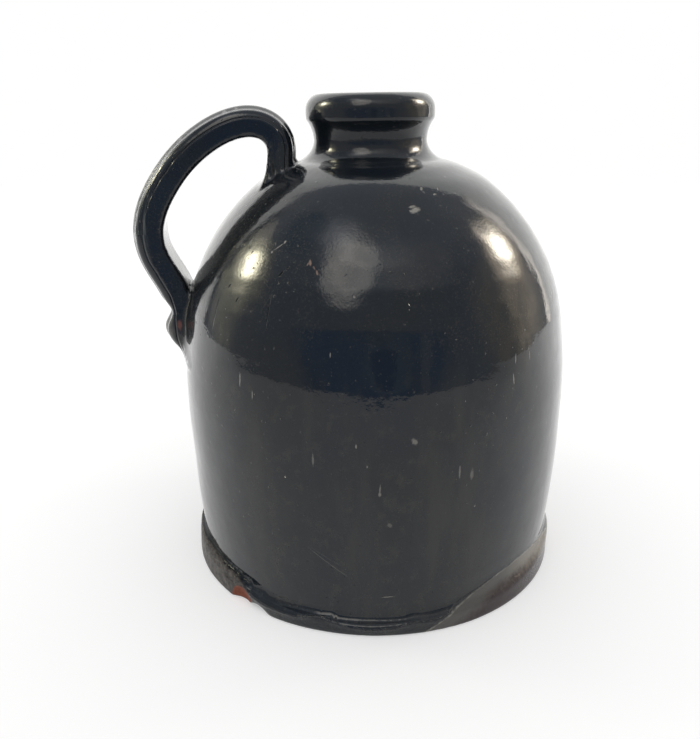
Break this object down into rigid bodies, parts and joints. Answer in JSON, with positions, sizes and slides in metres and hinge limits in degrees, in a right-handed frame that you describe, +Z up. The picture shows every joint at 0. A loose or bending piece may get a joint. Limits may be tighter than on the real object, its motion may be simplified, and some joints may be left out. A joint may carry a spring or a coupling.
{
  "type": "redware jug",
  "caption": "Glossy near-black glazed redware jug with a straight-sided body, domed shoulder, short collared neck, rolled lip and a strap handle.",
  "frame": {"origin": "middle of the flat base, on the surface the jug stands on", "axes": "+Z up through the mouth; -X towards the handle; the handle lies in the XZ plane"},
  "size_m": [0.168, 0.1528, 0.1832],
  "materials": {
    "glaze": "glossy near-black lead glaze with a thin brown haze, over red clay that shows at the foot and in a chip"
  },
  "bodies": {
    "root": {"jug": "glaze"}
  },
  "joints": []
}
